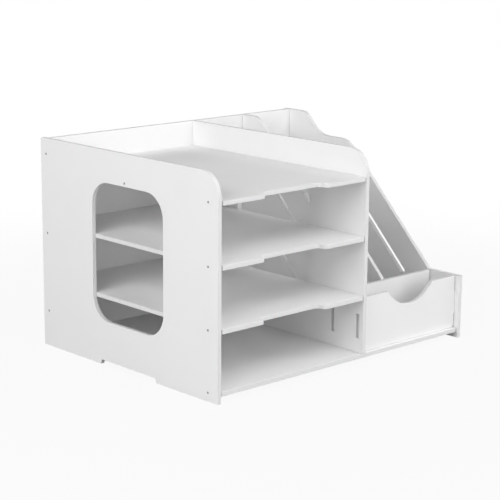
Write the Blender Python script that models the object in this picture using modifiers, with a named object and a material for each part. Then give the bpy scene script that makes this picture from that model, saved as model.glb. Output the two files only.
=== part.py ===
"""Desk file organizer of white boards.

A tray bay with three shelves stands beside two magazine bays with slanted sides, and an open bin
with a scooped front closes the magazine bays at the bottom.  Every board is its own object.

Metres, +Z up.  The origin is the middle of the footprint, on the floor.  Outlines are measured
from the left front corner of the footprint: x to the right, y to the back, z up.
"""

import math

import bmesh
import bpy
from mathutils import Vector

# Boards and fits
BOARD = 0.005
FIT_GAP = 0.0003
WELD_DISTANCE = 0.00003
CUT_OVERRUN = 0.001
ARC_STEP = math.radians(11.25)
FLAT_ANGLE = math.radians(1)
SHARP_ANGLE = math.radians(30)
# Corners that line up across a board leave flat slivers in its caps, which these sweeps clear
SLIVER_SWEEPS = 3

# Body
BODY_WIDTH = 0.409
BODY_DEPTH = 0.320
BODY_HEIGHT = 0.257
BAY_WIDTH = 0.082
FLOOR_CLEARANCE = 0.0075
SHELF_COUNT = 3
TOP_TRAY_DEPTH = 0.0315
INNER_SETBACK = 0.0015
DIVIDER_SETBACK = 0.0005
BACK_INSET = 0.0075

# Side panels and dividers
TOP_FRONT_RADIUS = 0.028
TOP_REAR_RADIUS = 0.0025
WINDOW_FRONT_MARGIN = 0.092
WINDOW_REAR_MARGIN = 0.0995
WINDOW_SILL = 0.0535
WINDOW_TOP_MARGIN = 0.0015
WINDOW_RADIUS = 0.029
FRONT_FOOT_LENGTH = 0.1055
REAR_FOOT_LENGTH = 0.113
NOTCH_HEIGHT = 0.0055
NOTCH_RADIUS = 0.004

# Slanted profile of the magazine bays, and the step behind it
LOW_HEIGHT = 0.080
SLANT_FOOT = 0.052
STEP_LENGTH = 0.0509
STEP_DROP = 0.0286
STEP_RISE_LENGTH = 0.0286
TOP_LENGTH = 0.042
SLANT_RADIUS = 0.033
STEP_REAR_RADIUS = 0.036
STEP_TOP_RADIUS = 0.018

# Slanted slots of the magazine bays: how far each lies behind the slanted edge, and its lower end
DIVIDER_SLOT_OFFSETS = (0.0465, 0.1075, 0.1765)
PANEL_SLOT_OFFSETS = (0.053, 0.114, 0.183)
SLOT_BOTTOMS = (0.068, 0.056, 0.044)
SLOT_WIDTH = 0.0072
SLOT_END_RADIUS = 0.0012
SLOT_MARGIN = 0.040

# Finger recess of the shelves, and the relief notches at the boards' front corners
RECESS_WIDTH = 0.093
RECESS_DEPTH = 0.0115
RECESS_RADIUS = 0.0057
RELIEF_WIDTH = 0.0018
RELIEF_DEPTH = 0.006

# Bin
BIN_SETBACK = 0.0068
BIN_DEPTH = 0.0362
BIN_HEIGHT = 0.0795
BIN_END_GAP = 0.0012
SCOOP_HALF_WIDTH = 0.040
SCOOP_DEPTH = 0.021
TAB_BOTTOM_MARGIN = 0.0178
TAB_TOP_MARGIN = 0.0198
TAB_RECESS = 0.0038

# Screws
SCREW_LENGTH = 0.016
SCREW_TIP = 0.0025
SHANK_RADIUS = 0.0008
HEAD_RADIUS = 0.0013
HEAD_HEIGHT = 0.001
HEAD_SINK = 0.0002
DRIVE_ARM = 0.0008
DRIVE_WIDTH = 0.0004
DRIVE_DEPTH = 0.0005
SCREW_SIDES = 12
SCREW_FRONT_INSET = 0.0165
BACK_SCREW_FOOT = 0.044
BACK_SCREW_TOP_INSET = 0.019
FIELD_INSET = 0.050
DIVIDER_FOOT_INSET = 0.025

# Looks: linear colour, roughness and metallic value
BOARD_LOOK = ((0.84, 0.84, 0.83), 0.45, 0)
SCREW_LOOK = ((0.36, 0.36, 0.36), 0.4, 1)

# Derived places, from the left front corner of the footprint
RIGHT_LEFT = BODY_WIDTH - BOARD
MAGAZINE_LEFT = RIGHT_LEFT - BAY_WIDTH - BOARD
MIDDLE_LEFT = MAGAZINE_LEFT - BAY_WIDTH - BOARD
BASE_TOP = FLOOR_CLEARANCE + BOARD
BASE_MIDDLE = FLOOR_CLEARANCE + BOARD / 2
TOP_SHELF_UNDERSIDE = BODY_HEIGHT - TOP_TRAY_DEPTH - BOARD
SHELF_PITCH = (TOP_SHELF_UNDERSIDE - FLOOR_CLEARANCE) / SHELF_COUNT
SHELF_MIDDLES = [BASE_MIDDLE + SHELF_PITCH * (tier + 1) for tier in range(SHELF_COUNT)]
BACK_REAR = BODY_DEPTH - BACK_INSET
BACK_FRONT = BACK_REAR - BOARD
STEP_TOP = BODY_DEPTH - TOP_LENGTH
STEP_REAR = STEP_TOP - STEP_RISE_LENGTH
SLANT_CORNER = STEP_REAR - STEP_LENGTH
STEP_HEIGHT = BODY_HEIGHT - STEP_DROP
BIN_WALL_FRONT = BIN_SETBACK + BOARD + BIN_DEPTH
BIN_WALL_REAR = BIN_WALL_FRONT + BOARD
TAB_BOTTOM = BASE_TOP + TAB_BOTTOM_MARGIN
TAB_TOP = BIN_HEIGHT - TAB_TOP_MARGIN

# Turns that lay a flat outline on its plane
STANDING_ALONG = (math.pi / 2, 0, math.pi / 2)
STANDING_ACROSS = (math.pi / 2, 0, 0)
LEVEL = (0, 0, 0)


def clear_scene():
    """Removes every object, so that the script can run again in the same file."""
    for old in list(bpy.data.objects):
        bpy.data.objects.remove(old, do_unlink=True)


def new_collection(name):
    """A collection under the scene's own."""
    collection = bpy.data.collections.new(name)
    bpy.context.scene.collection.children.link(collection)
    return collection


def new_material(name, colour, roughness, metallic):
    """A Principled material with plain values."""
    material = bpy.data.materials.new(name)
    material.use_nodes = True
    shader = material.node_tree.nodes["Principled BSDF"]
    shader.inputs["Base Color"].default_value = (*colour, 1)
    shader.inputs["Roughness"].default_value = roughness
    shader.inputs["Metallic"].default_value = metallic
    material.diffuse_color = (*colour, 1)
    return material


def room(here, corner):
    """How much of the straight from here to its neighbour corner an arc may take up."""
    length = (Vector(corner[:2]) - here).length
    return length / 2 if corner[2] else length


def rounded(corners):
    """Points of a closed outline through (u, v, radius) corners, with an arc at each corner."""
    points = []
    for index, (u, v, radius) in enumerate(corners):
        here = Vector((u, v))
        if not radius:
            points.append(here)
            continue
        previous = corners[index - 1]
        following = corners[(index + 1) % len(corners)]
        before = (Vector(previous[:2]) - here).normalized()
        after = (Vector(following[:2]) - here).normalized()
        half_angle = before.angle(after) / 2
        reach = min(radius / math.tan(half_angle), room(here, previous), room(here, following))
        centre = here + (before + after).normalized() * (reach / math.cos(half_angle))
        start = here + before * reach - centre
        end = here + after * reach - centre
        sweep = math.atan2(start.x * end.y - start.y * end.x, start.dot(end))
        steps = max(2, round(abs(sweep) / ARC_STEP))
        for step in range(steps + 1):
            turn = sweep * step / steps
            along = Vector((-start.y, start.x))
            points.append(centre + start * math.cos(turn) + along * math.sin(turn))
    return points


def extruded_mesh(name, outlines, thickness):
    """A flat outline with its holes, as a welded mesh of the given thickness about its plane."""
    curve = bpy.data.curves.new(name, "CURVE")
    curve.dimensions = "2D"
    curve.fill_mode = "BOTH"
    curve.extrude = thickness / 2
    for outline in outlines:
        spline = curve.splines.new("POLY")
        spline.points.add(len(outline) - 1)
        for point, (u, v) in zip(spline.points, outline):
            point.co = (u, v, 0, 1)
        spline.use_cyclic_u = True
    sketch = bpy.data.objects.new(name + "_sketch", curve)
    bpy.context.scene.collection.objects.link(sketch)
    graph = bpy.context.evaluated_depsgraph_get()
    mesh = bpy.data.meshes.new_from_object(sketch.evaluated_get(graph))
    mesh.name = name
    bpy.data.objects.remove(sketch)
    shape = bmesh.new()
    shape.from_mesh(mesh)
    bmesh.ops.remove_doubles(shape, verts=shape.verts, dist=WELD_DISTANCE)
    for sweep in range(SLIVER_SWEEPS):
        bmesh.ops.dissolve_degenerate(shape, dist=WELD_DISTANCE, edges=shape.edges)
    bmesh.ops.dissolve_limit(shape, angle_limit=FLAT_ANGLE, verts=shape.verts, edges=shape.edges)
    shape.to_mesh(mesh)
    shape.free()
    return mesh


class Builder:
    """Holds the collections, the parent empty and the list of boards."""

    def __init__(self):
        self.parts = new_collection("file_organizer")
        self.cutters = new_collection("cutters")
        self.corner = bpy.data.objects.new("left_front_corner", None)
        self.corner.location = (-BODY_WIDTH / 2, -BODY_DEPTH / 2, 0)
        self.parts.objects.link(self.corner)
        self.boards = []

    def board(self, name, outlines, location, rotation):
        """A white board cut to its outlines, under the corner empty, with its own material."""
        mesh = extruded_mesh(name, outlines, BOARD)
        mesh.materials.clear()
        mesh.materials.append(new_material(name, *BOARD_LOOK))
        part = bpy.data.objects.new(name, mesh)
        part.location = location
        part.rotation_euler = rotation
        part.parent = self.corner
        self.parts.objects.link(part)
        self.boards.append(part)
        return part

    def upright(self, name, outlines, left):
        """A board that runs front to back, with its left face at the given x."""
        return self.board(name, outlines, (left + BOARD / 2, 0, 0), STANDING_ALONG)

    def across(self, name, outlines, front):
        """A board that runs left to right on edge, with its front face at the given y."""
        return self.board(name, outlines, (0, front + BOARD / 2, 0), STANDING_ACROSS)

    def level(self, name, outlines, middle):
        """A level board, with the middle of its thickness at the given z."""
        return self.board(name, outlines, (0, 0, middle), LEVEL)


def foot_notch():
    """Corners of the notch between a side panel's two feet, from the rear foot to the front."""
    notch_rear = BODY_DEPTH - REAR_FOOT_LENGTH
    return [
        (notch_rear, 0, 0),
        (notch_rear, NOTCH_HEIGHT, NOTCH_RADIUS),
        (FRONT_FOOT_LENGTH, NOTCH_HEIGHT, NOTCH_RADIUS),
        (FRONT_FOOT_LENGTH, 0, 0),
    ]


def window():
    """The rounded window that the left panel and the middle divider share."""
    rear = BODY_DEPTH - WINDOW_REAR_MARGIN
    top = TOP_SHELF_UNDERSIDE - WINDOW_TOP_MARGIN
    return rounded([
        (WINDOW_FRONT_MARGIN, WINDOW_SILL, WINDOW_RADIUS),
        (rear, WINDOW_SILL, WINDOW_RADIUS),
        (rear, top, WINDOW_RADIUS),
        (WINDOW_FRONT_MARGIN, top, WINDOW_RADIUS),
    ])


def slanted_top(rear):
    """Corners of the slanted profile's top, from its foot up to the given rear edge."""
    return [
        (SLANT_CORNER, STEP_HEIGHT, SLANT_RADIUS),
        (STEP_REAR, STEP_HEIGHT, STEP_REAR_RADIUS),
        (STEP_TOP, BODY_HEIGHT, STEP_TOP_RADIUS),
        (rear, BODY_HEIGHT, TOP_REAR_RADIUS),
    ]


def slanted_slots(offsets):
    """Slots parallel to the slanted edge, square at both ends, where there is room for them."""
    along = Vector((SLANT_CORNER - SLANT_FOOT, STEP_HEIGHT - LOW_HEIGHT)).normalized()
    across = Vector((along.y, -along.x))
    slots = []
    for offset, bottom in zip(offsets, SLOT_BOTTOMS):
        level = Vector((SLANT_FOOT + offset, LOW_HEIGHT))
        foot = level - along * ((LOW_HEIGHT - bottom) / along.y)
        top_reach = (STEP_HEIGHT - SLOT_MARGIN - bottom) / along.y
        rear_reach = (BACK_FRONT - SLOT_MARGIN - foot.x) / along.x
        length = min(top_reach, rear_reach)
        if length < SLOT_WIDTH:
            continue
        head = foot + along * length
        half = across * (SLOT_WIDTH / 2)
        corners = [foot + half, head + half, head - half, foot - half]
        slots.append(rounded([(corner.x, corner.y, SLOT_END_RADIUS) for corner in corners]))
    return slots


def tab_slot(front):
    """The slot that takes a bin board's tab, for a board with its front face at the given y."""
    return rounded([
        (front - FIT_GAP, TAB_BOTTOM - FIT_GAP, 0),
        (front + BOARD + FIT_GAP, TAB_BOTTOM - FIT_GAP, 0),
        (front + BOARD + FIT_GAP, TAB_TOP + FIT_GAP, 0),
        (front - FIT_GAP, TAB_TOP + FIT_GAP, 0),
    ])


def left_side_panel(build):
    outline = rounded([
        (0, 0, 0),
        (0, BODY_HEIGHT, TOP_FRONT_RADIUS),
        (BODY_DEPTH, BODY_HEIGHT, TOP_REAR_RADIUS),
        (BODY_DEPTH, 0, 0),
        *foot_notch(),
    ])
    build.upright("left_side_panel", [outline, window()], 0)


def middle_divider(build):
    outline = rounded([
        (DIVIDER_SETBACK, BASE_TOP + FIT_GAP, 0),
        (DIVIDER_SETBACK, BODY_HEIGHT, TOP_FRONT_RADIUS),
        (BACK_FRONT - FIT_GAP, BODY_HEIGHT, 0),
        (BACK_FRONT - FIT_GAP, BASE_TOP + FIT_GAP, 0),
    ])
    slots = [tab_slot(BIN_SETBACK), tab_slot(BIN_WALL_FRONT)]
    build.upright("middle_divider", [outline, window(), *slots], MIDDLE_LEFT)


def magazine_divider(build):
    front = BIN_WALL_REAR + FIT_GAP
    slant = (SLANT_CORNER - SLANT_FOOT) / (STEP_HEIGHT - LOW_HEIGHT)
    outline = rounded([
        (front, BASE_TOP + FIT_GAP, 0),
        (front, LOW_HEIGHT + (front - SLANT_FOOT) / slant, 0),
        *slanted_top(BACK_FRONT - FIT_GAP)[:-1],
        (BACK_FRONT - FIT_GAP, BODY_HEIGHT, 0),
        (BACK_FRONT - FIT_GAP, BASE_TOP + FIT_GAP, 0),
    ])
    build.upright("magazine_divider", [outline, *slanted_slots(DIVIDER_SLOT_OFFSETS)], MAGAZINE_LEFT)


def right_side_panel(build):
    outline = rounded([
        (0, 0, 0),
        (0, LOW_HEIGHT, 0),
        (SLANT_FOOT, LOW_HEIGHT, 0),
        *slanted_top(BODY_DEPTH),
        (BODY_DEPTH, 0, 0),
        *foot_notch(),
    ])
    slots = [tab_slot(BIN_SETBACK), tab_slot(BIN_WALL_FRONT), *slanted_slots(PANEL_SLOT_OFFSETS)]
    build.upright("right_side_panel", [outline, *slots], RIGHT_LEFT)


def back_panel(build):
    outline = rounded([
        (BOARD + FIT_GAP, BASE_TOP + FIT_GAP, 0),
        (RIGHT_LEFT - FIT_GAP, BASE_TOP + FIT_GAP, 0),
        (RIGHT_LEFT - FIT_GAP, BODY_HEIGHT, 0),
        (BOARD + FIT_GAP, BODY_HEIGHT, 0),
    ])
    build.across("back_panel", [outline], BACK_FRONT)


def base_board(build):
    left = BOARD + FIT_GAP
    right = RIGHT_LEFT - FIT_GAP
    relief_end = INNER_SETBACK + RELIEF_DEPTH
    outline = rounded([
        (left, BACK_REAR, 0),
        (left, relief_end, 0),
        (left + RELIEF_WIDTH, relief_end, 0),
        (left + RELIEF_WIDTH, INNER_SETBACK, 0),
        (right - RELIEF_WIDTH, INNER_SETBACK, 0),
        (right - RELIEF_WIDTH, relief_end, 0),
        (right, relief_end, 0),
        (right, BACK_REAR, 0),
    ])
    build.level("base_board", [outline], BASE_MIDDLE)


def tray_shelves(build):
    left = BOARD + FIT_GAP
    right = MIDDLE_LEFT - FIT_GAP
    rear = BACK_FRONT - FIT_GAP
    recess_left = (left + right - RECESS_WIDTH) / 2
    recess_right = recess_left + RECESS_WIDTH
    outline = rounded([
        (left, rear, 0),
        (left, RELIEF_DEPTH, 0),
        (left + RELIEF_WIDTH, RELIEF_DEPTH, 0),
        (left + RELIEF_WIDTH, 0, 0),
        (recess_left, 0, RECESS_RADIUS),
        (recess_left, RECESS_DEPTH, RECESS_RADIUS),
        (recess_right, RECESS_DEPTH, RECESS_RADIUS),
        (recess_right, 0, RECESS_RADIUS),
        (right - RELIEF_WIDTH, 0, 0),
        (right - RELIEF_WIDTH, RELIEF_DEPTH, 0),
        (right, RELIEF_DEPTH, 0),
        (right, rear, 0),
    ])
    for number, middle in enumerate(SHELF_MIDDLES, start=1):
        build.level(f"shelf_{number}", [outline], middle)


def bin_end(face, outward):
    """Corners of a bin board's end, upwards, at an upright board's face (outward +1 right, -1 left)."""
    end = face - outward * BIN_END_GAP
    tip = face + outward * (BOARD - TAB_RECESS)
    bottom = BASE_TOP + FIT_GAP
    return [
        (end - outward * RELIEF_WIDTH, bottom, 0),
        (end - outward * RELIEF_WIDTH, bottom + RELIEF_WIDTH, 0),
        (end, bottom + RELIEF_WIDTH, 0),
        (end, TAB_BOTTOM, 0),
        (tip, TAB_BOTTOM, 0),
        (tip, TAB_TOP, 0),
        (end, TAB_TOP, 0),
        (end, BIN_HEIGHT, 0),
    ]


def scoop():
    """Corners along the scoop's arc, from right to left, over the middle of the two bays."""
    centre_x = (MIDDLE_LEFT + BOARD + RIGHT_LEFT) / 2
    radius = (SCOOP_HALF_WIDTH ** 2 + SCOOP_DEPTH ** 2) / (2 * SCOOP_DEPTH)
    centre_z = BIN_HEIGHT - SCOOP_DEPTH + radius
    half_angle = math.asin(SCOOP_HALF_WIDTH / radius)
    steps = round(2 * half_angle / (ARC_STEP / 2))
    arc = []
    for step in range(steps + 1):
        turn = half_angle * (1 - 2 * step / steps)
        arc.append((centre_x + radius * math.sin(turn), centre_z - radius * math.cos(turn), 0))
    return arc


def bin_boards(build):
    right_end = bin_end(RIGHT_LEFT, 1)
    left_end = bin_end(MIDDLE_LEFT + BOARD, -1)[::-1]
    build.across("bin_front_panel", [rounded([*right_end, *scoop(), *left_end])], BIN_SETBACK)
    build.across("bin_back_wall", [rounded([*right_end, *left_end])], BIN_WALL_FRONT)


def turned_mesh(name, profile):
    """A solid turned about its own Z axis from (radius, height) points, top to bottom."""
    mesh = bpy.data.meshes.new(name)
    points = [(radius, 0, height) for radius, height in profile]
    edges = [(index, index + 1) for index in range(len(points) - 1)]
    mesh.from_pydata(points, edges, [])
    blank = bpy.data.objects.new(name, mesh)
    bpy.context.scene.collection.objects.link(blank)
    turn = blank.modifiers.new("turn", "SCREW")
    turn.steps = SCREW_SIDES
    turn.render_steps = SCREW_SIDES
    turn.use_merge_vertices = True
    turn.merge_threshold = WELD_DISTANCE
    return blank


def evaluated_mesh(blank):
    """The blank's mesh with its modifiers applied; the blank is removed."""
    graph = bpy.context.evaluated_depsgraph_get()
    mesh = bpy.data.meshes.new_from_object(blank.evaluated_get(graph))
    bpy.data.objects.remove(blank)
    return mesh


def drive_cutter(build, turn):
    """A box that cuts one arm of the cross in a screw's head."""
    bpy.ops.mesh.primitive_cube_add(size=1, rotation=(0, 0, turn))
    tool = bpy.context.object
    tool.scale = (2 * DRIVE_ARM, DRIVE_WIDTH, 2 * (DRIVE_DEPTH + HEAD_SINK))
    for collection in tool.users_collection:
        collection.objects.unlink(tool)
    build.cutters.objects.link(tool)
    return tool


def screw_mesh(build):
    """One countersunk screw, its head's top just under z = 0 and its tip at the bottom."""
    shank_end = SCREW_TIP - SCREW_LENGTH
    blank = turned_mesh("screw", [
        (0, -HEAD_SINK),
        (HEAD_RADIUS, -HEAD_SINK),
        (SHANK_RADIUS, -HEAD_SINK - HEAD_HEIGHT),
        (SHANK_RADIUS, shank_end),
        (0, -SCREW_LENGTH),
    ])
    tools = [drive_cutter(build, turn) for turn in (0, math.pi / 2)]
    for tool in tools:
        cut = blank.modifiers.new("drive", "BOOLEAN")
        cut.object = tool
    bpy.context.view_layer.update()
    mesh = evaluated_mesh(blank)
    for tool in tools:
        bpy.data.objects.remove(tool)
    return mesh


def pocket_mesh():
    """The hole for one screw: a countersink, then a bore a little longer than the screw."""
    blank = turned_mesh("screw_pocket", [
        (0, CUT_OVERRUN),
        (HEAD_RADIUS + FIT_GAP, CUT_OVERRUN),
        (HEAD_RADIUS + FIT_GAP, -HEAD_SINK),
        (SHANK_RADIUS + FIT_GAP, -HEAD_SINK - HEAD_HEIGHT),
        (SHANK_RADIUS + FIT_GAP, -SCREW_LENGTH - FIT_GAP),
        (0, -SCREW_LENGTH - FIT_GAP),
    ])
    return evaluated_mesh(blank)


def facing(outward):
    """The turn that takes a screw's own +Z to the way out of the face that holds its head."""
    return Vector((0, 0, 1)).rotation_difference(Vector(outward))


def screw_places():
    """Every screw by group: its point on the outer face of a board, and that face's way out."""
    back_middle = BACK_FRONT + BOARD / 2
    middle_x = MIDDLE_LEFT + BOARD / 2
    magazine_x = MAGAZINE_LEFT + BOARD / 2
    divider_face = MIDDLE_LEFT + BOARD
    foot_rear = BACK_FRONT - DIVIDER_FOOT_INSET
    left, right, rear, down = (-1, 0, 0), (1, 0, 0), (0, 1, 0), (0, 0, -1)
    shelf_x = (BOARD + FIELD_INSET, MIDDLE_LEFT - FIELD_INSET)
    divider_z = (BASE_TOP + FIELD_INSET, BODY_HEIGHT - FIELD_INSET)
    bin_x = (divider_face + RIGHT_LEFT) / 2
    bin_y = (BIN_SETBACK + BOARD / 2, BIN_WALL_FRONT + BOARD / 2)
    back_top = BODY_HEIGHT - BACK_SCREW_TOP_INSET
    back_z = (BACK_SCREW_FOOT, (BACK_SCREW_FOOT + back_top) / 2, back_top)

    side_base = [(SCREW_FRONT_INSET, BASE_MIDDLE)]
    side_back = [(back_middle, height) for height in back_z]
    shelf_ends = [(SCREW_FRONT_INSET, middle) for middle in SHELF_MIDDLES]
    shelf_ends.append((BODY_DEPTH / 2, SHELF_MIDDLES[-1]))
    rear_points = [(x, middle) for x in shelf_x for middle in SHELF_MIDDLES]
    rear_points += [(x, height) for x in (middle_x, magazine_x) for height in divider_z]
    base_points = [
        (middle_x, INNER_SETBACK + DIVIDER_FOOT_INSET),
        (middle_x, foot_rear),
        (magazine_x, BIN_WALL_REAR + DIVIDER_FOOT_INSET),
        (magazine_x, foot_rear),
        (shelf_x[0], back_middle),
        (bin_x + DIVIDER_FOOT_INSET, back_middle),
        *[(bin_x, y) for y in bin_y],
    ]
    return {
        "left_panel_screw": [((0, y, z), left) for y, z in side_base + shelf_ends + side_back],
        "right_panel_screw": [((BODY_WIDTH, y, z), right) for y, z in side_base + side_back],
        "divider_screw": [((divider_face, y, z), right) for y, z in shelf_ends],
        "back_panel_screw": [((x, BACK_REAR, z), rear) for x, z in rear_points],
        "base_screw": [((x, y, FLOOR_CLEARANCE), down) for x, y in base_points],
    }


def add_screws(build, places):
    """Every screw as an object of its own; they share one mesh and one material."""
    single = screw_mesh(build)
    single.shade_smooth()
    single.set_sharp_from_angle(angle=SHARP_ANGLE)
    single.materials.clear()
    single.materials.append(new_material("screw", *SCREW_LOOK))
    for group, spots in places.items():
        for number, (point, outward) in enumerate(spots, start=1):
            screw = bpy.data.objects.new(f"{group}_{number}", single)
            screw.rotation_euler = facing(outward).to_euler()
            screw.location = point
            screw.parent = build.corner
            build.parts.objects.link(screw)


def cut_screw_holes(build, places):
    """Cuts each screw's hole in both boards that it joins."""
    hole = pocket_mesh()
    holes = bmesh.new()
    for spots in places.values():
        for point, outward in spots:
            turn = facing(outward).to_matrix().to_4x4()
            turn.translation = point
            first = len(holes.verts)
            holes.from_mesh(hole)
            holes.verts.ensure_lookup_table()
            bmesh.ops.transform(holes, matrix=turn, verts=holes.verts[first:])
    mesh = bpy.data.meshes.new("screw_pockets")
    holes.to_mesh(mesh)
    holes.free()
    pockets = bpy.data.objects.new("screw_pockets", mesh)
    pockets.parent = build.corner
    pockets.hide_render = True
    pockets.display_type = "WIRE"
    build.cutters.objects.link(pockets)
    for part in build.boards:
        cut = part.modifiers.new("screw_holes", "BOOLEAN")
        cut.object = pockets


def main():
    clear_scene()
    build = Builder()
    left_side_panel(build)
    middle_divider(build)
    magazine_divider(build)
    right_side_panel(build)
    back_panel(build)
    base_board(build)
    tray_shelves(build)
    bin_boards(build)
    places = screw_places()
    add_screws(build, places)
    cut_screw_holes(build, places)
    bpy.context.view_layer.update()


main()
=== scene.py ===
import math

import bmesh
import bpy
from mathutils import Matrix, Vector


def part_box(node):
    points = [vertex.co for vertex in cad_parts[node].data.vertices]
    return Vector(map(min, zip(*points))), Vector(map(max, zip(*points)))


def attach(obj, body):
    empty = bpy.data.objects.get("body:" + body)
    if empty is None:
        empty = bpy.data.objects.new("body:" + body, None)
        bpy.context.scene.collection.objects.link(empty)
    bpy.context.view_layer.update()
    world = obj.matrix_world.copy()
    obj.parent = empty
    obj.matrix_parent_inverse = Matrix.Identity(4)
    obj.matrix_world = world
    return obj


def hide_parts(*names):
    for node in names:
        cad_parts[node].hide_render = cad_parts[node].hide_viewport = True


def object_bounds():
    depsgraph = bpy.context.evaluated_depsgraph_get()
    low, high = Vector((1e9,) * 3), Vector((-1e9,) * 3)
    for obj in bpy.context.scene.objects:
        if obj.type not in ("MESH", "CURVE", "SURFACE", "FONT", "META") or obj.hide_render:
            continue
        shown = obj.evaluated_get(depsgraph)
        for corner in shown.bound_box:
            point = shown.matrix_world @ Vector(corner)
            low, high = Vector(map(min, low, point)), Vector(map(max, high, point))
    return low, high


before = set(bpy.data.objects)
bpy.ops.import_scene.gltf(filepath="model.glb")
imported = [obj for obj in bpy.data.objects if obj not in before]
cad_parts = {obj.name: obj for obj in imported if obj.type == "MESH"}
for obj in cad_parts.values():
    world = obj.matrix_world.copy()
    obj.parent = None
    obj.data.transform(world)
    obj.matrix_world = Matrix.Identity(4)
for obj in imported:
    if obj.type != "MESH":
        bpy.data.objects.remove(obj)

bl_info = {
    "name": "White board desk organizer",
    "version": (1, 0, 0),
    "blender": (4, 5, 0),
    "location": "View3D > Sidebar > Organizer",
    "description": "Dresses the boards and screws of a desk organizer and sets a small studio round it",
    "category": "Object",
}

# The CAD box, kept from straight after the frame was loaded
CAD_LOW, CAD_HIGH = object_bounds()
ROOT = "root"
MILLIMETRE = 0.001
RIGHT_ANGLE = math.pi / 2
WHITE = (1, 1, 1, 1)

# Boards by the work that dresses them
SIDE_PANELS = ("left_side_panel", "right_side_panel")
DIVIDERS = ("middle_divider", "magazine_divider")
CARCASS = ("back_panel", "base_board")
SHELVES = ("shelf_1", "shelf_2", "shelf_3")
BIN_BOARDS = ("bin_front_panel", "bin_back_wall")

# The way out of the face that holds each group's heads
SCREW_GROUPS = {
    "left_panel_screw": (-1, 0, 0),
    "right_panel_screw": (1, 0, 0),
    "divider_screw": (1, 0, 0),
    "back_panel_screw": (0, 1, 0),
    "base_screw": (0, 0, -1),
}


def linear(code):
    """The linear colour of an sRGB hex code."""
    channels = [int(code[place:place + 2], 16) / 255 for place in (1, 3, 5)]
    return tuple(c / 12.92 if c <= 0.04045 else ((c + 0.055) / 1.055) ** 2.4 for c in channels)


def add(tree, kind, inputs=None, **settings):
    """Adds a node; an input is a value, or a socket that is linked to it."""
    node = tree.nodes.new(kind)
    for name, value in settings.items():
        setattr(node, name, value)
    for name, value in (inputs or {}).items():
        if isinstance(value, bpy.types.NodeSocket):
            tree.links.new(value, node.inputs[name])
        else:
            node.inputs[name].default_value = value
    return node


def enabled_socket(sockets, name):
    """The socket of that name that a node's settings leave in use."""
    return next(socket for socket in sockets if socket.name == name and socket.enabled)


def new_material(name):
    """An empty node material of the given name."""
    material = bpy.data.materials.new(name)
    material.use_nodes = True
    material.node_tree.nodes.clear()
    return material


def per_size(millimetres):
    """A noise scale, in patterns per metre, from the size of one pattern in millimetres."""
    return 1 / (millimetres * MILLIMETRE)


# Settings that a user would change

class OrganizerBoards(bpy.types.PropertyGroup):
    edge_round: bpy.props.FloatProperty(
        name="Edge rounding", description="Radius that sanding leaves on the boards' edges",
        default=0.00035, min=0, max=0.002, unit="LENGTH", precision=5)
    edge_steps: bpy.props.IntProperty(
        name="Rounding steps", description="Faces across a rounded edge", default=2, min=1, max=6)
    face_colour: bpy.props.FloatVectorProperty(
        name="Face", description="Colour of the coated faces", size=3, subtype="COLOR",
        default=linear("#F7F7F7"), min=0, max=1)
    shade_colour: bpy.props.FloatVectorProperty(
        name="Face shade", description="The slightly greyer white that clouds the faces", size=3,
        subtype="COLOR", default=linear("#F3F3F3"), min=0, max=1)
    edge_colour: bpy.props.FloatVectorProperty(
        name="Edge", description="Colour of the lacquered edges", size=3, subtype="COLOR",
        default=linear("#E9E9E9"), min=0, max=1)
    fibre_colour: bpy.props.FloatVectorProperty(
        name="Edge fibres", description="Colour of the fibres that the lacquer leaves visible",
        size=3, subtype="COLOR", default=linear("#DFDFDE"), min=0, max=1)
    cloud_mm: bpy.props.FloatProperty(
        name="Clouding (mm)", description="Size of the faint clouds in the white", default=60)
    peel_mm: bpy.props.FloatProperty(
        name="Orange peel (mm)", description="Size of the ripples in the faces' foil", default=2.2)
    fibre_mm: bpy.props.FloatProperty(
        name="Fibres (mm)", description="Length of the fibres in the edges", default=1.6)
    face_gloss: bpy.props.FloatProperty(
        name="Face gloss", description="Gloss of the faces, where 0.5 is that of plain lacquer",
        default=0.07, min=0, max=1)
    edge_gloss: bpy.props.FloatProperty(
        name="Edge gloss", description="Gloss of the edges, where 0.5 is that of plain lacquer",
        default=0.12, min=0, max=1)


class OrganizerScrews(bpy.types.PropertyGroup):
    sides: bpy.props.IntProperty(
        name="Sides", description="Faces round a head", default=32, min=12, max=64)
    dish_share: bpy.props.FloatProperty(
        name="Dish", description="Depth of the dished head top, as a share of its radius", default=0.06)
    shank_share: bpy.props.FloatProperty(
        name="Shank", description="Shank radius as a share of the head's", default=0.6)
    recess_share: bpy.props.FloatProperty(
        name="Cross recess", description="Reach of the cross recess as a share of the head's radius",
        default=0.62)
    spin_seed: bpy.props.IntProperty(
        name="Spin seed", description="Picks how far each screw is turned", default=7)
    steel_colour: bpy.props.FloatVectorProperty(
        name="Steel", description="Colour of the dark zinc on the screws", size=3, subtype="COLOR",
        default=linear("#8C8C8D"), min=0, max=1)
    worn_colour: bpy.props.FloatVectorProperty(
        name="Worn steel", description="Colour where the driver has rubbed the zinc", size=3,
        subtype="COLOR", default=linear("#A9A9A8"), min=0, max=1)


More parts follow.
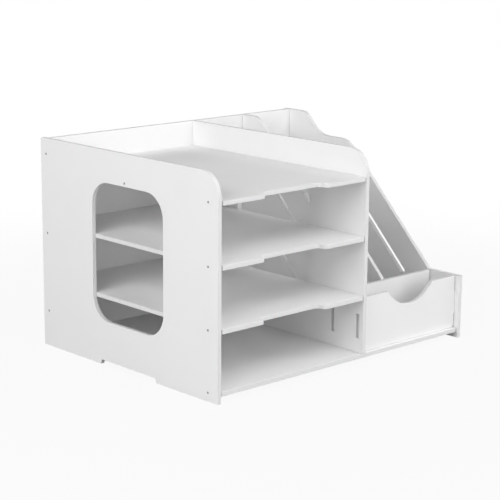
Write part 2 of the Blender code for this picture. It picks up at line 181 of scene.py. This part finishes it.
class OrganizerStudio(bpy.types.PropertyGroup):
    floor_size: bpy.props.FloatProperty(
        name="Floor", description="Width of the floor", default=14, min=2, unit="LENGTH")
    floor_colour: bpy.props.FloatVectorProperty(
        name="Floor colour", description="Colour of the paper, before the white that the camera sees",
        size=3, subtype="COLOR", default=linear("#A6A6A6"), min=0, max=1)
    floor_white_share: bpy.props.FloatProperty(
        name="Floor white",
        description="Share of plain white in the floor that the camera sees by the part",
        default=0.93, min=0, max=1)
    shadow_reach: bpy.props.FloatProperty(
        name="Shadow reach",
        description="Distance from the floor's middle at which it starts to turn plain white",
        default=0.4, min=0.1, unit="LENGTH")
    shadow_fade: bpy.props.FloatProperty(
        name="Shadow fade", description="Distance over which the floor turns plain white", default=0.6,
        min=0.1, unit="LENGTH")
    room_light: bpy.props.FloatProperty(
        name="Room light", description="Strength of an even light from all round, beside the lamps",
        default=0.0, min=0)
    front_light: bpy.props.FloatProperty(
        name="Front light", description="Power of the lamps in front", default=27, min=0, unit="POWER")
    left_light: bpy.props.FloatProperty(
        name="Left light", description="Power of the lamps at the left", default=36, min=0, unit="POWER")
    fill_light: bpy.props.FloatProperty(
        name="Fill light", description="Power of the high lamp at the right front", default=10.5, min=0,
        unit="POWER")
    back_light: bpy.props.FloatProperty(
        name="Back light", description="Power of the low lamps behind and at the right front",
        default=42, min=0, unit="POWER")
    lamp_distance: bpy.props.FloatProperty(
        name="Lamp distance", description="How far the lamps stand from the part's middle", default=2.2,
        min=0.5, unit="LENGTH")
    lamp_size: bpy.props.FloatProperty(
        name="Lamp size", description="Width of each square lamp", default=1.4, min=0.1, unit="LENGTH")


# Materials: how high each one's bumps stand, and the size of the patterns on the screws
PEEL_HEIGHT = 0.05 * MILLIMETRE
FIBRE_HEIGHT = 0.06 * MILLIMETRE
BRUSH_HEIGHT = 0.02 * MILLIMETRE
RUB_MM = 0.9
BRUSH_MM = 0.4
# How many times finer than the clouds the marks of handling are
HANDLING_FINENESS = 4


def mixed_colour(tree, factor, first, second):
    """A socket that blends two colours by a factor socket."""
    blend = add(tree, "ShaderNodeMix", data_type="RGBA")
    tree.links.new(factor, enabled_socket(blend.inputs, "Factor"))
    enabled_socket(blend.inputs, "A").default_value = (*first, 1)
    enabled_socket(blend.inputs, "B").default_value = (*second, 1)
    return enabled_socket(blend.outputs, "Result")


def board_face_material(boards):
    """White melamine foil on fibreboard.

    The foil is pressed on with a matt plate, so the white is even and nearly dull, with faint
    clouds and a fine orange peel that breaks up what gloss there is. The real ripples are under a
    millimetre, and are drawn at about 2 mm so that they show.
    """
    material = new_material("white_melamine_foil")
    tree = material.node_tree
    place = add(tree, "ShaderNodeTexCoord").outputs["Object"]
    cloud = add(tree, "ShaderNodeTexNoise", {
        "Vector": place, "Scale": per_size(boards.cloud_mm), "Detail": 3, "Roughness": 0.45})
    white = mixed_colour(tree, cloud.outputs["Fac"], boards.face_colour, boards.shade_colour)
    handling = add(tree, "ShaderNodeTexNoise", {
        "Vector": place, "Scale": per_size(boards.cloud_mm / HANDLING_FINENESS), "Detail": 4,
        "Roughness": 0.6})
    matt = add(tree, "ShaderNodeMapRange", {
        "Value": handling.outputs["Fac"], "From Min": 0.3, "From Max": 0.7, "To Min": 0.78,
        "To Max": 0.88})
    peel = add(tree, "ShaderNodeTexNoise", {
        "Vector": place, "Scale": per_size(boards.peel_mm), "Detail": 2, "Roughness": 0.5})
    ripple = add(tree, "ShaderNodeBump", {
        "Strength": 0.12, "Distance": PEEL_HEIGHT, "Height": peel.outputs["Fac"]})
    shader = add(tree, "ShaderNodeBsdfPrincipled", {
        "Base Color": white, "Roughness": matt.outputs["Result"], "Normal": ripple.outputs["Normal"],
        "IOR": 1.5, "Specular IOR Level": boards.face_gloss})
    add(tree, "ShaderNodeOutputMaterial", {"Surface": shader.outputs["BSDF"]})
    return material


def board_edge_material(boards):
    """White lacquer on sawn fibreboard edges.

    The sawn edge drinks the lacquer, so it dries a little greyer than the faces, and short fibres
    show as faintly darker, raised flecks.
    """
    material = new_material("white_lacquer_on_fibreboard_edge")
    tree = material.node_tree
    place = add(tree, "ShaderNodeTexCoord").outputs["Object"]
    fibre = add(tree, "ShaderNodeTexNoise", {
        "Vector": place, "Scale": per_size(boards.fibre_mm), "Detail": 5, "Roughness": 0.65})
    flecks = add(tree, "ShaderNodeMapRange", {
        "Value": fibre.outputs["Fac"], "From Min": 0.52, "From Max": 0.75, "To Min": 0, "To Max": 0.6})
    white = mixed_colour(tree, flecks.outputs["Result"], boards.edge_colour, boards.fibre_colour)
    dull = add(tree, "ShaderNodeMapRange", {
        "Value": fibre.outputs["Fac"], "From Min": 0.3, "From Max": 0.7, "To Min": 0.8, "To Max": 0.9})
    raised = add(tree, "ShaderNodeBump", {
        "Strength": 0.2, "Distance": FIBRE_HEIGHT, "Height": fibre.outputs["Fac"]})
    shader = add(tree, "ShaderNodeBsdfPrincipled", {
        "Base Color": white, "Roughness": dull.outputs["Result"], "Normal": raised.outputs["Normal"],
        "IOR": 1.48, "Specular IOR Level": boards.edge_gloss})
    add(tree, "ShaderNodeOutputMaterial", {"Surface": shader.outputs["BSDF"]})
    return material


def screw_material(screws):
    """Dark zinc-plated steel.

    The plating is a satin grey metal, a little brighter in the patches that the driver has rubbed.
    Its fine marks are far below 0.1 mm, and are drawn at 0.4 mm, the least that shows on a head.
    """
    material = new_material("dark_zinc_plated_steel")
    tree = material.node_tree
    place = add(tree, "ShaderNodeTexCoord").outputs["Object"]
    rub = add(tree, "ShaderNodeTexNoise", {
        "Vector": place, "Scale": per_size(RUB_MM), "Detail": 3, "Roughness": 0.6})
    steel = mixed_colour(tree, rub.outputs["Fac"], screws.steel_colour, screws.worn_colour)
    brush = add(tree, "ShaderNodeTexNoise", {
        "Vector": place, "Scale": per_size(BRUSH_MM), "Detail": 2, "Roughness": 0.5})
    satin = add(tree, "ShaderNodeMapRange", {
        "Value": brush.outputs["Fac"], "From Min": 0.3, "From Max": 0.7, "To Min": 0.28, "To Max": 0.45})
    marks = add(tree, "ShaderNodeBump", {
        "Strength": 0.15, "Distance": BRUSH_HEIGHT, "Height": brush.outputs["Fac"]})
    shader = add(tree, "ShaderNodeBsdfPrincipled", {
        "Base Color": steel, "Metallic": 1.0, "Roughness": satin.outputs["Result"],
        "Normal": marks.outputs["Normal"]})
    add(tree, "ShaderNodeOutputMaterial", {"Surface": shader.outputs["BSDF"]})
    return material


def shared_material(name, maker, settings):
    """The material of that name, made by maker the first time that it is asked for."""
    return bpy.data.materials.get(name) or maker(settings)


# Boards: how their copies are cleaned, and which of their edges and faces count as what
MERGE_DISTANCE = 0.01 * MILLIMETRE
FLAT_ANGLE = math.radians(0.5)
CORNER_ANGLE = math.radians(60)
SMOOTH_ANGLE = math.radians(50)
HOLE_MARGIN = 1 * MILLIMETRE
# A coated face looks along the board's thickness by at least this share of its normal
FACE_SHARE = 0.9


def screw_group(node):
    """A node's name without its number, which for a screw is the name of its group."""
    return node.rsplit("_", 1)[0]


def screw_nodes():
    """The frame's screws, sorted by name."""
    return [node for node in sorted(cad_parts) if screw_group(node) in SCREW_GROUPS]


def in_screw_hole(point, boxes):
    """Whether a point lies on the wall or the mouth of a screw's hole."""
    for low, high in boxes:
        size = high - low
        along = max(range(3), key=lambda axis: size[axis])
        middle = (low + high) / 2
        offset = point - middle
        reach = size[along] / 2 + HOLE_MARGIN
        if abs(offset[along]) > reach:
            continue
        offset[along] = 0
        if offset.length < min(size) / 2 + HOLE_MARGIN:
            return True
    return False


def board_mesh(node, boards, boxes):
    """A copy of a board with its flat faces whole again and its edges rounded as by sanding."""
    shape = bmesh.new()
    shape.from_mesh(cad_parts[node].data)
    bmesh.ops.remove_doubles(shape, verts=shape.verts, dist=MERGE_DISTANCE)
    bmesh.ops.dissolve_limit(
        shape, angle_limit=FLAT_ANGLE, verts=shape.verts, edges=shape.edges)
    corners = [
        edge for edge in shape.edges
        if len(edge.link_faces) == 2
        and edge.calc_face_angle(0) > CORNER_ANGLE
        and not in_screw_hole((edge.verts[0].co + edge.verts[1].co) / 2, boxes)
    ]
    for face in shape.faces:
        face.material_index = 0
    bmesh.ops.bevel(
        shape, geom=corners, offset=boards.edge_round, offset_type="OFFSET",
        segments=boards.edge_steps, profile=0.5, affect="EDGES", clamp_overlap=True, material=1)
    low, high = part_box(node)
    size = high - low
    thin = min(range(3), key=lambda axis: size[axis])
    for face in shape.faces:
        if abs(face.normal[thin]) < FACE_SHARE:
            face.material_index = 1
    mesh = bpy.data.meshes.new(node + "_board")
    shape.to_mesh(mesh)
    shape.free()
    return mesh


def dress_boards(nodes, context):
    """Replaces each board of the frame by its rounded copy, with foil faces and lacquered edges."""
    boards = context.scene.organizer_boards
    face = shared_material("white_melamine_foil", board_face_material, boards)
    edge = shared_material("white_lacquer_on_fibreboard_edge", board_edge_material, boards)
    boxes = [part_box(node) for node in screw_nodes()]
    for node in nodes:
        mesh = board_mesh(node, boards, boxes)
        mesh.materials.append(face)
        mesh.materials.append(edge)
        mesh.shade_smooth()
        mesh.set_sharp_from_angle(angle=SMOOTH_ANGLE)
        blank = bpy.data.objects.new(node + "_blank", mesh)
        context.scene.collection.objects.link(blank)
        weighted = blank.modifiers.new("flat_faces_stay_flat", "WEIGHTED_NORMAL")
        weighted.keep_sharp = True
        graph = context.evaluated_depsgraph_get()
        finished = bpy.data.meshes.new_from_object(blank.evaluated_get(graph))
        bpy.data.objects.remove(blank)
        piece = bpy.data.objects.new(node + "_board", finished)
        context.scene.collection.objects.link(piece)
        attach(piece, ROOT)
        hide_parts(node)


class ORGANIZER_OT_side_panels(bpy.types.Operator):
    """Dress the windowed left panel and the slanted right panel"""
    bl_idname = "organizer.side_panels"
    bl_label = "Side panels"

    def execute(self, context):
        dress_boards(SIDE_PANELS, context)
        return {"FINISHED"}


class ORGANIZER_OT_dividers(bpy.types.Operator):
    """Dress the windowed divider and the slanted magazine divider"""
    bl_idname = "organizer.dividers"
    bl_label = "Dividers"

    def execute(self, context):
        dress_boards(DIVIDERS, context)
        return {"FINISHED"}


class ORGANIZER_OT_carcass(bpy.types.Operator):
    """Dress the back panel and the base board"""
    bl_idname = "organizer.carcass"
    bl_label = "Back and base"

    def execute(self, context):
        dress_boards(CARCASS, context)
        return {"FINISHED"}


class ORGANIZER_OT_shelves(bpy.types.Operator):
    """Dress the tray shelves with their finger recesses"""
    bl_idname = "organizer.shelves"
    bl_label = "Shelves"

    def execute(self, context):
        dress_boards(SHELVES, context)
        return {"FINISHED"}


class ORGANIZER_OT_bin(bpy.types.Operator):
    """Dress the bin's scooped front panel and its back wall"""
    bl_idname = "organizer.bin"
    bl_label = "Bin"

    def execute(self, context):
        dress_boards(BIN_BOARDS, context)
        return {"FINISHED"}


# Screws: shares of the head's radius, unless they say otherwise
DISH_EDGE_SHARE = 0.8
RIM_INNER_SHARE = 0.95
RIM_SHARE = 0.12
RECESS_WIDTH_SHARE = 0.3
RECESS_DEPTH_SHARE = 0.45
RECESS_FLOOR_SHARE = 0.55  # of the recess's size at the head's top
CONE_SLOPE_SHARE = 1.3  # of the step from head to shank
POINT_START_SHARE = 0.84  # of the length
POINT_TIP_SHARE = 0.99  # of the length
POINT_WIDTH_SHARE = 0.25  # of the shank's radius
# How a screw's mesh is cleaned and shaded
SCREW_SMOOTH_ANGLE = math.radians(35)
POLE_MERGE_DISTANCE = 0.0001 * MILLIMETRE
LEAST_EDGE = 0.001 * MILLIMETRE


def turned(profile, sides):
    """A closed solid turned about Z from (radius, height) points, from the top down."""
    shape = bmesh.new()
    points = [shape.verts.new((radius, 0, height)) for radius, height in profile]
    line = [shape.edges.new(pair) for pair in zip(points, points[1:])]
    bmesh.ops.spin(
        shape, geom=points + line, axis=(0, 0, 1), cent=(0, 0, 0), angle=math.tau, steps=sides,
        use_duplicate=False)
    bmesh.ops.remove_doubles(shape, verts=shape.verts, dist=POLE_MERGE_DISTANCE)
    bmesh.ops.recalc_face_normals(shape, faces=shape.faces)
    return shape


def recess_arm(turn, reach, width, depth):
    """One bar of the cross recess, narrower at its bottom, as a box about the head's top."""
    arm = bmesh.new()
    bmesh.ops.create_cube(arm, size=2)
    for vert in arm.verts:
        share = 1 if vert.co.z > 0 else RECESS_FLOOR_SHARE
        vert.co = Vector((vert.co.x * reach * share, vert.co.y * width / 2 * share, vert.co.z * depth))
    bmesh.ops.rotate(arm, verts=arm.verts, cent=(0, 0, 0), matrix=Matrix.Rotation(turn, 3, "Z"))
    mesh = bpy.data.meshes.new("recess_arm")
    arm.to_mesh(mesh)
    arm.free()
    return bpy.data.objects.new("recess_arm", mesh)


def without_slivers(mesh, least):
    """Takes out the faces that a cut leaves with an edge shorter than the least length."""
    shape = bmesh.new()
    shape.from_mesh(mesh)
    bmesh.ops.remove_doubles(shape, verts=shape.verts, dist=least)
    bmesh.ops.dissolve_degenerate(shape, edges=shape.edges, dist=least)
    shape.to_mesh(mesh)
    shape.free()


def screw_form(context, screws, head_radius, length):
    """A countersunk screw with a dished head and a cross recess, its rim at z = 0."""
    shank = head_radius * screws.shank_share
    cone = head_radius - shank
    rim = head_radius * RIM_SHARE
    dish = head_radius * screws.dish_share
    shape = turned([
        (0, -dish),
        (head_radius * DISH_EDGE_SHARE, -dish / 2),
        (head_radius * RIM_INNER_SHARE, 0),
        (head_radius, -rim / 2),
        (head_radius, -rim),
        (shank, -rim - cone * CONE_SLOPE_SHARE),
        (shank, -length * POINT_START_SHARE),
        (shank * POINT_WIDTH_SHARE, -length * POINT_TIP_SHARE),
        (0, -length),
    ], screws.sides)
    mesh = bpy.data.meshes.new("screw_form")
    shape.to_mesh(mesh)
    shape.free()
    form = bpy.data.objects.new("screw_form", mesh)
    context.scene.collection.objects.link(form)
    reach = head_radius * screws.recess_share
    width = head_radius * RECESS_WIDTH_SHARE
    depth = head_radius * RECESS_DEPTH_SHARE
    arms = [recess_arm(turn, reach, width, depth) for turn in (0, RIGHT_ANGLE)]
    for arm in arms:
        context.scene.collection.objects.link(arm)
        cut = form.modifiers.new("cross_recess", "BOOLEAN")
        cut.object = arm
    context.view_layer.update()
    finished = bpy.data.meshes.new_from_object(form.evaluated_get(context.evaluated_depsgraph_get()))
    for old in (form, *arms):
        bpy.data.objects.remove(old)
    without_slivers(finished, LEAST_EDGE)
    finished.materials.clear()
    finished.shade_smooth()
    finished.set_sharp_from_angle(angle=SCREW_SMOOTH_ANGLE)
    form = bpy.data.objects.new("screw_form", finished)
    context.scene.collection.objects.link(form)
    return form


def screw_points():
    """A mesh with a point at each screw's head, which holds the turn that points it outwards."""
    places, turns = [], []
    for node in screw_nodes():
        outward = Vector(SCREW_GROUPS[screw_group(node)])
        low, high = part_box(node)
        middle = (low + high) / 2
        half = abs(outward.dot(high - low)) / 2
        places.append(middle + outward * half)
        turns.append(Vector((0, 0, 1)).rotation_difference(outward).to_euler())
    mesh = bpy.data.meshes.new("screw_places")
    mesh.from_pydata(places, [], [])
    turn = mesh.attributes.new("turn", "FLOAT_VECTOR", "POINT")
    turn.data.foreach_set("vector", [angle for euler in turns for angle in euler])
    return mesh


def screw_tree():
    """Puts the form on each point, turns it outwards and spins it by a seeded amount."""
    tree = bpy.data.node_groups.new("screws_on_points", "GeometryNodeTree")
    face = tree.interface
    face.new_socket("Points", in_out="INPUT", socket_type="NodeSocketGeometry")
    face.new_socket("Form", in_out="INPUT", socket_type="NodeSocketObject")
    face.new_socket("Size", in_out="INPUT", socket_type="NodeSocketFloat")
    face.new_socket("Spin", in_out="INPUT", socket_type="NodeSocketFloat")
    face.new_socket("Spin seed", in_out="INPUT", socket_type="NodeSocketInt")
    face.new_socket("Finish", in_out="INPUT", socket_type="NodeSocketMaterial")
    face.new_socket("Screws", in_out="OUTPUT", socket_type="NodeSocketGeometry")
    given = add(tree, "NodeGroupInput").outputs
    form = add(tree, "GeometryNodeObjectInfo", {"Object": given["Form"]})
    turn = add(tree, "GeometryNodeInputNamedAttribute", {"Name": "turn"}, data_type="FLOAT_VECTOR")
    outwards = add(tree, "FunctionNodeEulerToRotation", {"Euler": turn.outputs["Attribute"]})
    placed = add(tree, "GeometryNodeInstanceOnPoints", {
        "Points": given["Points"], "Instance": form.outputs["Geometry"],
        "Rotation": outwards.outputs["Rotation"], "Scale": given["Size"]})
    chance = add(tree, "FunctionNodeRandomValue", data_type="FLOAT")
    tree.links.new(given["Spin seed"], chance.inputs["Seed"])
    amount = add(tree, "ShaderNodeMath", operation="MULTIPLY")
    tree.links.new(enabled_socket(chance.outputs, "Value"), amount.inputs[0])
    tree.links.new(given["Spin"], amount.inputs[1])
    about = add(tree, "ShaderNodeCombineXYZ", {"Z": amount.outputs["Value"]})
    spun = add(tree, "GeometryNodeRotateInstances", {
        "Instances": placed.outputs["Instances"], "Rotation": about.outputs["Vector"],
        "Local Space": True})
    real = add(tree, "GeometryNodeRealizeInstances", {"Geometry": spun.outputs["Instances"]})
    finish = add(tree, "GeometryNodeSetMaterial", {
        "Geometry": real.outputs["Geometry"], "Material": given["Finish"]})
    add(tree, "NodeGroupOutput", {"Screws": finish.outputs["Geometry"]})
    return tree


class ORGANIZER_OT_screws(bpy.types.Operator):
    """Set a countersunk screw in every screw hole"""
    bl_idname = "organizer.screws"
    bl_label = "Screws"

    def execute(self, context):
        screws = context.scene.organizer_screws
        nodes = screw_nodes()
        if not nodes:
            raise RuntimeError("the frame has no screws")
        low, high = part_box(nodes[0])
        size = sorted(high - low)
        form = screw_form(context, screws, size[0] / 2, size[2])
        carrier = bpy.data.objects.new("screw_places", screw_points())
        context.scene.collection.objects.link(carrier)
        tree = screw_tree()
        modifier = carrier.modifiers.new("screws", "NODES")
        modifier.node_group = tree
        values = {
            "Form": form, "Size": 1.0, "Spin": math.tau, "Spin seed": screws.spin_seed,
            "Finish": shared_material("dark_zinc_plated_steel", screw_material, screws),
        }
        for socket in tree.interface.items_tree:
            if socket.name in values:
                modifier[socket.identifier] = values[socket.name]
        context.view_layer.update()
        graph = context.evaluated_depsgraph_get()
        mesh = bpy.data.meshes.new_from_object(carrier.evaluated_get(graph))
        if not mesh.polygons:
            raise RuntimeError("the screws came out empty")
        mesh.materials.clear()
        mesh.materials.append(values["Finish"])
        mesh.polygons.foreach_set("material_index", [0] * len(mesh.polygons))
        bpy.data.objects.remove(carrier)
        bpy.data.objects.remove(form)
        piece = bpy.data.objects.new("screws", mesh)
        context.scene.collection.objects.link(piece)
        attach(piece, ROOT)
        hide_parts(*nodes)
        return {"FINISHED"}


# Studio: how far the floor lies under the part, so that the two don't share a plane
FLOOR_GAP = 0.1 * MILLIMETRE


def seen_directly(tree):
    """A socket that is 1 for rays from the camera, from gloss and through glass, and else 0."""
    path = add(tree, "ShaderNodeLightPath").outputs
    seen = add(tree, "ShaderNodeMath", {
        0: path["Is Camera Ray"], 1: path["Is Glossy Ray"]}, operation="MAXIMUM")
    through = add(tree, "ShaderNodeMath", {
        0: seen.outputs[0], 1: path["Is Transmission Ray"]}, operation="MAXIMUM")
    return through.outputs[0]


def white_to_camera(tree, lit, white_share):
    """Blends a lit surface with plain white, for rays from the camera, gloss and glass alone."""
    share = add(tree, "ShaderNodeMath", {0: seen_directly(tree), 1: white_share}, operation="MULTIPLY")
    white = add(tree, "ShaderNodeEmission", {"Color": WHITE, "Strength": 1.0})
    return add(tree, "ShaderNodeMixShader", {0: share.outputs[0], 1: lit, 2: white.outputs[0]}).outputs[0]


def floor_material(studio):
    """Matt paper sweep that the camera sees nearly white, and that still takes a soft shadow."""
    material = new_material("pale_paper_sweep")
    tree = material.node_tree
    paper = add(tree, "ShaderNodeBsdfPrincipled", {
        "Base Color": (*studio.floor_colour, 1), "Roughness": 0.9, "Specular IOR Level": 0.2})
    place = add(tree, "ShaderNodeTexCoord").outputs["Object"]
    distance = add(tree, "ShaderNodeVectorMath", {0: place}, operation="LENGTH")
    share = add(tree, "ShaderNodeMapRange", {
        "Value": distance.outputs["Value"], "From Min": studio.shadow_reach,
        "From Max": studio.shadow_reach + studio.shadow_fade, "To Min": studio.floor_white_share,
        "To Max": 1.0}, interpolation_type="SMOOTHSTEP")
    seen = white_to_camera(tree, paper.outputs["BSDF"], share.outputs["Result"])
    add(tree, "ShaderNodeOutputMaterial", {"Surface": seen})
    return material


def studio_world(studio):
    """Plain white to the camera, gloss and glass, and an even light from all round to the rest."""
    world = bpy.data.worlds.new("studio")
    world.use_nodes = True
    tree = world.node_tree
    tree.nodes.clear()
    room = add(tree, "ShaderNodeBackground", {"Color": WHITE, "Strength": studio.room_light})
    white = add(tree, "ShaderNodeBackground", {"Color": WHITE, "Strength": 1.0})
    both = add(tree, "ShaderNodeMixShader", {
        0: seen_directly(tree), 1: room.outputs[0], 2: white.outputs[0]})
    add(tree, "ShaderNodeOutputWorld", {"Surface": both.outputs[0]})
    return world


# Lamps: the setting that gives each one's power, its share of it, and its bearing and height in
# degrees, where bearing 0 is in front of the part, 90 at its left and -90 at its right
LAMPS = {
    "front_low_lamp": ("front_light", 0.52, 0, 5),
    "front_high_lamp": ("front_light", 0.48, 0, 38),
    "left_front_lamp": ("left_light", 0.17, 65, 10),
    "left_high_lamp": ("left_light", 0.62, 75, 28),
    "left_back_lamp": ("left_light", 0.21, 100, 15),
    "fill_lamp": ("fill_light", 1.0, -35, 50),
    "back_lamp": ("back_light", 0.6, 180, 10),
    "right_lamp": ("back_light", 0.4, -65, 12),
}


def lamp(context, name, bearing, height, distance, size, power):
    """A square soft lamp that stands round the part and is aimed at its middle."""
    data = bpy.data.lights.new(name, "AREA")
    data.shape = "SQUARE"
    data.size = size
    data.energy = power
    turn, rise = math.radians(bearing), math.radians(height)
    away = Vector((
        -math.sin(turn) * math.cos(rise), -math.cos(turn) * math.cos(rise), math.sin(rise)))
    light = bpy.data.objects.new(name, data)
    light.location = (CAD_LOW + CAD_HIGH) / 2 + away * distance
    light.rotation_euler = away.to_track_quat("Z", "Y").to_euler()
    context.scene.collection.objects.link(light)
    return light


# The photograph's view: the camera's place from the left front bottom corner, its turns and lens,
# and how far it sees in metres
CAMERA_FROM_CORNER = Vector((-1.10294, -1.23530, 0.55187))
CAMERA_YAW = math.radians(42.934)
CAMERA_PITCH = math.radians(12.862)
CAMERA_ROLL = math.radians(0.4604)
CAMERA_LENS_MM = 114.697
SENSOR_MM = 36
CAMERA_SIGHT = 50


def photograph_camera(context):
    """The camera at the photograph's place and angle."""
    data = bpy.data.cameras.new("photograph_view")
    data.sensor_width = SENSOR_MM
    data.lens = CAMERA_LENS_MM
    data.clip_end = CAMERA_SIGHT
    camera = bpy.data.objects.new("photograph_view", data)
    forward = Vector((
        math.sin(CAMERA_YAW) * math.cos(CAMERA_PITCH),
        math.cos(CAMERA_YAW) * math.cos(CAMERA_PITCH),
        -math.sin(CAMERA_PITCH)))
    right = Vector((math.cos(CAMERA_YAW), -math.sin(CAMERA_YAW), 0))
    up = right.cross(forward)
    rolled_right = right * math.cos(CAMERA_ROLL) + up * math.sin(CAMERA_ROLL)
    rolled_up = up * math.cos(CAMERA_ROLL) - right * math.sin(CAMERA_ROLL)
    turn = Matrix((rolled_right, rolled_up, -forward)).transposed().to_4x4()
    turn.translation = CAD_LOW + CAMERA_FROM_CORNER
    camera.matrix_world = turn
    context.scene.collection.objects.link(camera)
    context.scene.camera = camera


class ORGANIZER_OT_studio(bpy.types.Operator):
    """Set the pale floor, the white world, the soft lamps and the camera"""
    bl_idname = "organizer.studio"
    bl_label = "Studio"

    def execute(self, context):
        studio = context.scene.organizer_studio
        half = studio.floor_size / 2
        mesh = bpy.data.meshes.new("floor")
        mesh.from_pydata(
            [(-half, -half, 0), (half, -half, 0), (half, half, 0), (-half, half, 0)], [], [(0, 1, 2, 3)])
        mesh.materials.append(floor_material(studio))
        floor = bpy.data.objects.new("floor", mesh)
        floor.location.z = CAD_LOW.z - FLOOR_GAP
        context.scene.collection.objects.link(floor)
        context.scene.world = studio_world(studio)
        for name, (setting, share, bearing, height) in LAMPS.items():
            power = getattr(studio, setting) * share
            lamp(context, name, bearing, height, studio.lamp_distance, studio.lamp_size, power)
        photograph_camera(context)
        context.scene.view_settings.view_transform = "Standard"
        return {"FINISHED"}


STEPS = (
    ORGANIZER_OT_side_panels,
    ORGANIZER_OT_dividers,
    ORGANIZER_OT_carcass,
    ORGANIZER_OT_shelves,
    ORGANIZER_OT_bin,
    ORGANIZER_OT_screws,
    ORGANIZER_OT_studio,
)
SETTINGS = {
    "organizer_boards": OrganizerBoards,
    "organizer_screws": OrganizerScrews,
    "organizer_studio": OrganizerStudio,
}


class ORGANIZER_PT_panel(bpy.types.Panel):
    """The organizer's settings and steps"""
    bl_idname = "ORGANIZER_PT_panel"
    bl_label = "Desk organizer"
    bl_space_type = "VIEW_3D"
    bl_region_type = "UI"
    bl_category = "Organizer"

    def draw(self, context):
        layout = self.layout
        for name, group in SETTINGS.items():
            box = layout.box()
            settings = getattr(context.scene, name)
            for field in group.__annotations__:
                box.prop(settings, field)
        for step in STEPS:
            layout.operator(step.bl_idname)


def register():
    for group in SETTINGS.values():
        bpy.utils.register_class(group)
    for step in STEPS:
        bpy.utils.register_class(step)
    bpy.utils.register_class(ORGANIZER_PT_panel)
    for name, group in SETTINGS.items():
        setattr(bpy.types.Scene, name, bpy.props.PointerProperty(type=group))


def unregister():
    for name in SETTINGS:
        delattr(bpy.types.Scene, name)
    bpy.utils.unregister_class(ORGANIZER_PT_panel)
    for step in reversed(STEPS):
        bpy.utils.unregister_class(step)
    for group in reversed(list(SETTINGS.values())):
        bpy.utils.unregister_class(group)


def main():
    register()
    bpy.ops.organizer.side_panels()
    bpy.ops.organizer.dividers()
    bpy.ops.organizer.carcass()
    bpy.ops.organizer.shelves()
    bpy.ops.organizer.bin()
    bpy.ops.organizer.screws()
    bpy.ops.organizer.studio()


if __name__ == "__main__":
    main()
